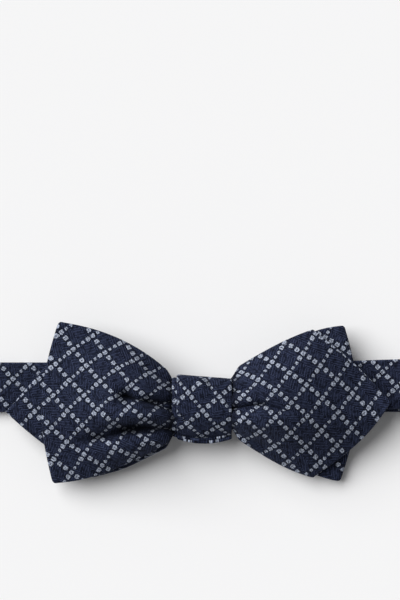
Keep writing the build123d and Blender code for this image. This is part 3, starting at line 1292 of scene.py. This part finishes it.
# --- knot --------------------------------------------------------------------------------------------
@dataclass
class KnotRing:
    """A wrap of cloth drawn round the waists of the wings and the band."""

    name: str
    box: Box
    left: float
    right: float
    inset: float
    grain: Grain
    creases: tuple[Crease, ...]
    stands_for: tuple[str, ...]
    square: float = 2.5
    top_from: tuple[float, float] = (1.5, 0.8)
    bottom_from: tuple[float, float] = (0.5, 1.8)
    high_from: tuple[float, float] = (0.2, 1.0)
    low_from: float = 0.6
    lean: float = 0.1
    roll: float = 0.062
    roll_from: float = -3.5
    thickness: float = 1.1
    rim: float = 0.9
    cell: float = 0.6
    rounds: int = 168
    unevenness: float = 0.35
    seed: int = 53

    def build(self, material: bpy.types.Material) -> bpy.types.Object:
        """Builds the wrap.

        Args:
            material: The cloth's finish.

        Returns:
            The finished piece.
        """
        across = stations(self.right - self.left, self.cell, self.rim)[None, :]
        angle = np.linspace(0, 2 * math.pi, self.rounds, endpoint=False)[:, None] - math.pi / 2
        aside = (across - 0.5) * 2
        x = self.left + (self.right - self.left) * across + 0 * angle
        top = self.box.high[1] - self.top_from[0] - self.top_from[1] * aside - self.inset
        bottom = self.box.low[1] + self.bottom_from[0] + self.bottom_from[1] * aside**2 + self.inset
        high = self.box.high[2] - self.high_from[1] * aside**2 - self.high_from[0] - self.inset
        low = self.box.low[2] + self.low_from + self.inset

        def squared(turn: np.ndarray) -> np.ndarray:
            """A round turn pushed out towards a square."""
            return np.sign(turn) * np.abs(turn) ** (2 / self.square)

        y = (top + bottom) / 2 - (top - bottom) / 2 * squared(np.cos(angle))
        z = (high + low) / 2 + (high - low) / 2 * squared(np.sin(angle))
        facing = ease(np.sin(angle), -0.2, 0.5)
        lift = ripple(x, y, self.seed, self.unevenness)
        for crease in self.creases:
            lift = lift + crease.height(x, y)
        settle = self.lean * (y - self.box.middle[1]) - self.roll * np.minimum(y - self.roll_from, 0) ** 2
        z = z + (lift + settle) * facing
        middle = np.stack([x, y, z], axis=-1)

        around = np.linalg.norm(np.diff(np.concatenate([middle, middle[:1]]), axis=0), axis=2)
        around = np.insert(np.cumsum(around, axis=0), 0, 0, axis=0)
        front = self.rounds // 2
        around = around - around[front] + middle[front, :, 1]
        sideways = np.concatenate([x, x[:1]])
        flat = np.stack([sideways, around], axis=-1)
        sheet = Sheet(self.name, middle, flat, self.grain, self.thickness, self.rim, ring=True)
        piece = sheet.build()
        dress(piece, material)
        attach(piece, "bow")
        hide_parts(*self.stands_for)
        sheet.area()
        return piece


@dataclass
class Knot:
    """The knot: the wrap, and the edge of the layer under it."""

    wrap_in: tuple[float, float] = (1.8, 0.8)
    lining_in: float = 1.8
    lining_inset: float = 0.95
    lining_thickness: float = 0.8
    creases: tuple[Crease, ...] = (
        Crease((1.5, 11.5), (3.0, 5.0), 1.1, 1.9, (0.2, 0.6)),
        Crease((-1.5, 11.5), (-0.5, 5.5), 1.3, -1.1, (0.2, 0.6)),
        Crease((-11.0, -4.5), (5.0, -9.5), 2.2, 1.0, (0.1, 0.5)),
        Crease((11.0, 4.0), (-3.0, 0.5), 2.0, 0.5, (0.1, 0.5)),
    )

    def build(self, material: bpy.types.Material) -> list[bpy.types.Object]:
        """Builds both layers.

        Args:
            material: The cloth's finish.

        Returns:
            The finished pieces.
        """
        box = Box.of("knot_wrap")
        wrap = KnotRing(
            name="knot_wrap_cloth",
            box=box,
            left=box.low[0] + self.wrap_in[0],
            right=box.high[0] - self.wrap_in[1],
            inset=0.0,
            grain=Grain(40.0, (0.0, -2.6)),
            creases=self.creases,
            stands_for=("knot_wrap",),
        )
        lining = KnotRing(
            name="knot_under_wrap",
            box=box,
            left=box.low[0],
            right=box.high[0] - self.lining_in,
            inset=self.lining_inset,
            grain=Grain(40.0, (3.0, 1.0)),
            creases=(),
            stands_for=("knot_lining",),
            thickness=self.lining_thickness,
        )
        return [wrap.build(material), lining.build(material)]


# --- neckband ----------------------------------------------------------------------------------------
@dataclass
class Strip:
    """A length of band or strap that keeps its width along a path in the XZ plane."""

    name: str
    path: np.ndarray
    width: float
    middle_y: float
    thickness: float
    grain: Grain
    stands_for: tuple[str, ...]
    sway: Callable[[np.ndarray], np.ndarray] = lambda x: 0 * x
    gather: tuple[float, float] = (3.2, 0.0)
    gather_drop: float = 3.6
    gather_between: tuple[float, float] = (27.0, 8.0)
    gathers_above: float = FAR
    cell: float = 1.0
    unevenness: float = 0.25
    seed: int = 61
    rim: float = 0.9

    def sheet(self) -> Sheet:
        """The strip's cloth.

        Returns:
            The cloth along the path, gathered and swayed.
        """
        span = np.linalg.norm(np.diff(self.path, axis=0), axis=1)
        travelled = np.insert(np.cumsum(span), 0, 0)
        length = float(travelled[-1])
        at = stations(length, self.cell, self.rim) * length
        x = np.interp(at, travelled, self.path[:, 0])[:, None]
        z = np.interp(at, travelled, self.path[:, 1])[:, None]
        across = (stations(self.width, self.cell, self.rim) - 0.5)[None, :] * self.width
        in_front = z > self.gathers_above
        near_knot = ease(np.abs(x), *self.gather_between) * in_front
        pinch = np.where(across > 0, *self.gather) * np.abs(across) / (self.width / 2)
        gathered = near_knot * (self.gather_drop + np.sign(across) * pinch)
        y = self.middle_y + across + self.sway(x) * in_front - gathered
        sag = ripple(np.broadcast_to(at[:, None], y.shape), y, self.seed, self.unevenness)
        middle = np.stack(np.broadcast_arrays(x, y, z + sag), axis=-1)
        heading = np.sign(self.path[1, 0] - self.path[0, 0])
        along = self.path[0, 0] + heading * at[:, None]
        flat = np.stack(np.broadcast_arrays(along, across + self.middle_y), axis=-1)
        if heading < 0:
            middle, flat = middle[:, ::-1], flat[:, ::-1]
        return Sheet(self.name, middle, flat, self.grain, self.thickness, self.rim)

    def build(self, material: bpy.types.Material) -> tuple[bpy.types.Object, Sheet]:
        """Builds and dresses the strip, and leaves how it moves to the caller.

        Args:
            material: The cloth's finish.

        Returns:
            The piece and its cloth.
        """
        sheet = self.sheet()
        piece = sheet.build()
        dress(piece, material)
        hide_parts(*self.stands_for)
        return piece, sheet


def arc(
    centre: tuple[float, float], radius: float, start: float, end: float, count: int = 17
) -> np.ndarray:
    """Points on an arc in the XZ plane.

    Args:
        centre: Its centre.
        radius: Its radius.
        start: The angle it starts at, in degrees from +X towards +Z.
        end: The angle it ends at.
        count: How many points it has.

    Returns:
        The points.
    """
    angles = np.radians(np.linspace(start, end, count))
    return np.stack([centre[0] + radius * np.cos(angles), centre[1] + radius * np.sin(angles)], axis=1)


@dataclass
class SatinTack:
    """A bartack: threads laid side by side across the strap, over two runs of padding stitches."""

    name: str
    node: str
    body: str
    threads: int = 34
    around: int = 8
    rings: int = 9
    plump: float = 0.62
    slant: float = 0.35
    sunk: float = 0.4
    taper: float = 0.75

    def build(self, material: bpy.types.Material) -> bpy.types.Object:
        """Builds the row of threads.

        Args:
            material: The thread's finish.

        Returns:
            The finished piece.
        """
        box = Box.of(self.node)
        pitch = (box.high[1] - box.low[1]) / self.threads
        radius = pitch * self.plump
        points: list[tuple[float, float, float]] = []
        faces: list[tuple[int, ...]] = []
        around = self.around
        stops = np.linspace(-1, 1, self.rings)
        for index in range(self.threads):
            y = box.low[1] + (index + 0.5) * pitch
            slant = pitch * self.slant * (-1) ** index
            first = len(points)
            for stop in stops:
                x = box.middle[0] + stop * (box.high[0] - box.low[0]) / 2
                lift = box.low[2] + (box.high[2] - box.low[2]) * (1 - stop**4) - radius * self.sunk
                size = radius * (1 - self.taper * abs(stop) ** 8)
                for turn in np.linspace(0, 2 * math.pi, around, endpoint=False):
                    across = y + slant * stop + size * math.cos(turn)
                    points.append((x, across, lift + size * math.sin(turn)))
            for ring in range(self.rings - 1):
                for turn in range(around):
                    a = first + ring * around + turn
                    b = first + ring * around + (turn + 1) % around
                    faces.append((a, b, b + around, a + around))
            faces.append(tuple(first + turn for turn in range(around))[::-1])
            last = first + (self.rings - 1) * around
            faces.append(tuple(last + turn for turn in range(around)))
        mesh = bpy.data.meshes.new(self.name)
        mesh.from_pydata((np.array(points) * MM).tolist(), [], faces)
        mesh.polygons.foreach_set("use_smooth", np.ones(len(faces), bool))
        piece = add_object(self.name, mesh)
        dress(piece, material)
        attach(piece, self.body)
        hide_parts(self.node)
        return piece


@dataclass(frozen=True)
class SewnEnd:
    """A strap's end, sewn down with a bartack once it has gone round a metal bar."""

    strap: str
    holds: str
    body: str
    low: Optional[float] = None

    @property
    def tack(self) -> SatinTack:
        """The bartack across it."""
        return SatinTack(f"{self.strap}_tack", f"{self.strap}_bartack", self.body)


@dataclass
class Neckband:
    """The band: its two long strips, the strap round the hook and the sewn ends."""

    width: float = field(init=False)
    middle_y: float = field(init=False)
    thickness: float = 1.4
    tab_thickness: float = 0.85
    bar_radius: float = 0.65
    bar_inset: float = 1.0
    climb_from: float = 55.0
    climb_steps: int = 60
    fold_room: float = 0.05
    ramp_between: tuple[float, float] = (3.0, 9.0)
    ramp_steps: int = 9
    strap_gap: float = 0.6
    sway: float = 1.5
    sway_rise: tuple[float, float] = (25.0, 85.0)
    sway_fall_from: float = 92.0
    blend_inset: float = 0.1
    slack_lap: float = 0.2
    return_lap: float = 0.3
    end_straight: float = 3.5
    end_starts: float = -0.8
    end_stops: float = 0.2

    def __post_init__(self) -> None:
        """Takes the band's width and place from the frame."""
        box = Box.of("right_band_front")
        self.width = box.high[1] - box.low[1]
        self.middle_y = box.middle[1]

    def strip(
        self, name: str, path: Sequence[np.ndarray], nodes: Sequence[str], **settings: object
    ) -> Strip:
        """A strip of the band's own width along joined stretches of path.

        Args:
            name: The piece's name.
            path: The stretches, in order.
            nodes: The CAD nodes that it stands for.
            settings: The strip's other fields.

        Returns:
            The strip, not built yet.
        """
        settings.setdefault("thickness", self.thickness)
        settings.setdefault("grain", Grain(-47.0, (-66.0, 3.0)))
        return Strip(
            name=name,
            path=np.concatenate(path),
            width=self.width,
            middle_y=self.middle_y,
            stands_for=tuple(nodes),
            **settings,
        )

    def declare(
        self,
        piece: bpy.types.Object,
        sheet: Sheet,
        held: str = "laid",
    ) -> None:
        """Works out a strip's flat length and, where it is laid, its area capped at the band's width
        times that length, and does nothing more with them.

        Args:
            piece: Not used.
            sheet: Its cloth.
            held: How it is held.
        """
        length = float(np.ptp(sheet.flat[..., 0]))
        area = min(sheet.area(), self.width * length * MM * MM) if held == "laid" else None

    def left(self, cloth: bpy.types.Material) -> bpy.types.Object:
        """Builds the left half, which lies flat and then climbs to the knot.

        Args:
            cloth: The cloth's finish.

        Returns:
            The finished piece.
        """
        crossing = Box.of("band_crossing")
        front = Box.of("left_band_front")
        fold = Box.of("left_band_fold")
        back = Box.of("left_band_back")
        low = (fold.high[2] + fold.low[2]) / 2
        radius = (fold.high[2] - fold.low[2] - (back.high[2] - back.low[2])) / 2
        flat_end = fold.high[0] + self.climb_from
        climb = np.linspace(0.0, flat_end, self.climb_steps)
        rise = crossing.middle[2] - (low + radius)
        down = np.clip((front.high[0] - climb) / (front.high[0] - flat_end), 0, 1)
        climb_z = crossing.middle[2] - rise * down
        runs = (
            np.stack([climb, climb_z], axis=1),
            arc((fold.high[0], low), radius, 90, 270),
            np.array([[back.high[0], back.middle[2]]]),
        )
        nodes = ["band_crossing"]
        for run in ("left_band_front", "left_band_back"):
            nodes += [run, f"{run}_interlining"]
        nodes.append("left_band_fold")
        strip = self.strip("left_band", runs, nodes, unevenness=0.12, seed=67, gathers_above=low)
        piece, sheet = strip.build(cloth)
        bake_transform(piece)
        self.declare(piece, sheet)
        return piece

    def right(self, cloth: bpy.types.Material) -> bpy.types.Object:
        """Builds the right half, which stands off the surface.

        Args:
            cloth: The cloth's finish.

        Returns:
            The finished piece.
        """
        front = Box.of("right_band_front")
        fold = Box.of("right_band_fold")
        back = Box.of("right_band_back")
        slack = Box.of("strap_slack")
        low = fold.middle[2]
        radius = (fold.high[2] - fold.low[2]) / 2 - self.thickness / 2 - self.fold_room
        begin, stop = self.ramp_between
        ramp = np.linspace(back.high[0] - begin, back.high[0] - stop, self.ramp_steps)
        ramp_z = low - radius + (slack.middle[2] - (low - radius)) * ease(ramp, ramp[0], ramp[-1])
        runs = (
            np.array([[0.0, front.middle[2]]]),
            arc((fold.low[0], low), radius, 90, -90),
            np.stack([ramp, ramp_z], axis=1),
            np.array([[slack.high[0] - self.strap_gap, slack.middle[2]]]),
        )
        nodes = ["right_band_fold"]
        for run in ("right_band_front", "right_band_back"):
            nodes += [run, f"{run}_interlining"]

        def sway(x: np.ndarray) -> np.ndarray:
            """The run drifts up the bow and comes back before the fold."""
            return self.sway * ease(x, *self.sway_rise) * ease(x, fold.low[0], self.sway_fall_from)

        strip = self.strip(
            "right_band", runs, nodes, unevenness=0.12, seed=71, sway=sway, gathers_above=low
        )
        piece, sheet = strip.build(cloth)
        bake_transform(piece)
        self.declare(piece, sheet)
        return piece

    def slack(self, cloth: bpy.types.Material) -> bpy.types.Object:
        """Builds the single strap that runs over the slider's low bars to the hook.

        Args:
            cloth: The cloth's finish.

        Returns:
            The finished piece.
        """
        box = Box.of("strap_slack")
        path = [np.array([[box.high[0], box.middle[2]], [box.low[0] - self.slack_lap, box.middle[2]]])]
        strip = self.strip("slider_strap", path, ["strap_slack"], unevenness=0.05, seed=73)
        piece, sheet = strip.build(cloth)
        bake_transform(piece)
        self.declare(piece, sheet)
        return piece

    def turned(self, cloth: bpy.types.Material) -> bpy.types.Object:
        """Builds the strap's turn round the hook's bar and its way back.

        Args:
            cloth: The cloth's finish.

        Returns:
            The finished piece.
        """
        turn = Box.of("strap_turn")
        back = Box.of("strap_return")
        radius = (turn.high[2] - turn.low[2] - (back.high[2] - back.low[2])) / 2
        path = (
            arc((turn.high[0], turn.middle[2]), radius, 270, 90),
            np.array([[back.high[0] + self.return_lap, back.middle[2]]]),
        )
        nodes = ["strap_turn", "strap_return"]
        strip = self.strip("return_strap", path, nodes, unevenness=0.05, seed=79, cell=0.7)
        piece, sheet = strip.build(cloth)
        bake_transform(piece)
        self.declare(piece, sheet, "folded")
        return piece

    def sewn_end(
        self, end: SewnEnd, stitches: bpy.types.Object, cloth: bpy.types.Material
    ) -> bpy.types.Object:
        """Builds a strap's end: in along one side, round its bar and back along the other.

        Args:
            end: Which end it is.
            stitches: Not used.
            cloth: The cloth's finish.

        Returns:
            The finished piece.
        """
        node = f"{end.strap}_end_loop"
        box = Box.of(node)
        over = Box.of(end.tack.node).low[2] - self.tab_thickness / 2
        under = over - self.tab_thickness if end.low is None else end.low
        bar = (box.high[0] - self.bar_radius - self.bar_inset, box.middle[2])
        start = box.low[0]
        runs = (
            np.array([[start + self.end_starts, under], [start + self.end_straight, under]]),
            arc(bar, self.bar_radius + self.tab_thickness / 2, -90, 90, 15),
            np.array([[start + self.end_straight, over], [start + self.end_stops, over]]),
        )
        name = f"{end.strap}_tab"
        thick = self.tab_thickness
        strip = self.strip(name, runs, [node], thickness=thick, cell=0.6, unevenness=0.03, seed=83)
        piece, sheet = strip.build(cloth)
        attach(piece, end.body)
        self.declare(piece, sheet, "folded")
        return piece


@dataclass
class Closure:
    """The hook, the eye and the slider, which keep their CAD shapes."""

    nodes: tuple[str, ...] = ("hook", "eye", "slider")
    roughness: tuple[float, ...] = (0.26, 0.3, 0.34)

    def dress(self, weave: Weaves) -> None:
        """Gives each metal piece its plated finish.

        Args:
            weave: The shared node groups.
        """
        for node, roughness in zip(self.nodes, self.roughness):
            finish = PlatedMetal(f"plated_{node}", roughness=roughness)
            dress(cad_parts[node], finish.make(weave))
            LOG.info("dressed %s", node)


# --- surroundings ------------------------------------------------------------------------------------
@dataclass
class Studio:
    """A pale floor, soft light from the upper left and a camera straight above."""

    floor_colour: Colour = (0.93, 0.93, 0.935)
    floor_size: float = 12.0
    floor_height: float = -0.05
    key: float = 3.33
    key_from: Vector = field(default_factory=lambda: Vector((-0.62, 0.46, 0.86)))
    key_spread: float = 54.0
    fill: float = 0.2
    view_height: float = 222.0
    view_plane: float = 15.0
    aim: tuple[float, float] = (-1.1, 38.1)
    lens: float = 200.0
    sensor: float = 36.0

    def floor(self) -> None:
        """Lays the floor just under the tie."""
        half = self.floor_size / 2
        mesh = bpy.data.meshes.new("floor")
        corners = [(-half, -half), (half, -half), (half, half), (-half, half)]
        mesh.from_pydata([(x, y, self.floor_height * MM) for x, y in corners], [], [(0, 1, 2, 3)])
        floor = add_object("floor", mesh)
        material, _, shader = blank("pale_floor")
        shader.inputs["Base Color"].default_value = rgba(self.floor_colour)
        shader.inputs["Roughness"].default_value = 0.9
        shader.inputs["Specular IOR Level"].default_value = 0.1
        dress(floor, material)

    def light(self) -> None:
        """Sets the key and the pale surroundings."""
        sun = bpy.data.lights.new("key", "SUN")
        sun.energy = self.key
        sun.angle = math.radians(self.key_spread)
        lamp = add_object("key", sun)
        lamp.rotation_mode = "QUATERNION"
        lamp.rotation_quaternion = self.key_from.to_track_quat("Z", "Y")
        world = bpy.data.worlds.new("studio")
        world.use_nodes = True
        background = world.node_tree.nodes["Background"]
        background.inputs["Color"].default_value = (1.0, 1.0, 1.0, 1.0)
        background.inputs["Strength"].default_value = self.fill
        bpy.context.scene.world = world

    def camera(self) -> None:
        """Hangs the camera over the tie, looking straight down."""
        data = bpy.data.cameras.new("camera")
        data.lens = self.lens
        data.sensor_width = self.sensor
        distance = self.view_height * self.lens / self.sensor
        camera = add_object("camera", data)
        camera.location = (self.aim[0] * MM, self.aim[1] * MM, (self.view_plane + distance) * MM)
        bpy.context.scene.camera = camera

    def build(self) -> None:
        """Sets everything up round the tie."""
        self.floor()
        self.light()
        self.camera()
        bpy.context.scene.view_settings.view_transform = "Standard"


def main() -> None:
    """Builds and dresses every piece of the tie."""
    logging.basicConfig(level=logging.INFO, format="%(name)s: %(message)s")
    weave = Weaves()
    cloth = CheckedTwill("checked_twill").make(weave)
    # The band's copy of the cloth is drawn 5 % darker: painted shade.
    painted_shade_band_cloth = CheckedTwill("band_twill_painted_shade", shade=0.95).make(weave)
    knot_cloth = CheckedTwill("knot_twill").make(weave)
    thread = Thread("navy_thread").make(weave)

    band = Neckband()
    pieces = [build(painted_shade_band_cloth) for build in (band.left, band.right, band.slack, band.turned)]
    ends = (SewnEnd("left", "eye", "left_tail", 0.5), SewnEnd("slider", "slider", "slider"))
    stitches = [end.tack.build(thread) for end in ends]
    pieces += [band.sewn_end(end, sewn, painted_shade_band_cloth) for end, sewn in zip(ends, stitches)]
    for piece in pieces + stitches:
        LOG.info("built %s", piece.name)
    for wing in (rear_blade(), rear_loop(), front_loop(), front_blade()):
        LOG.info("built %s", wing.build(cloth).name)
    for piece in Knot().build(knot_cloth):
        LOG.info("built %s", piece.name)
    Closure().dress(weave)
    Studio().build()


if __name__ == "__main__":
    main()
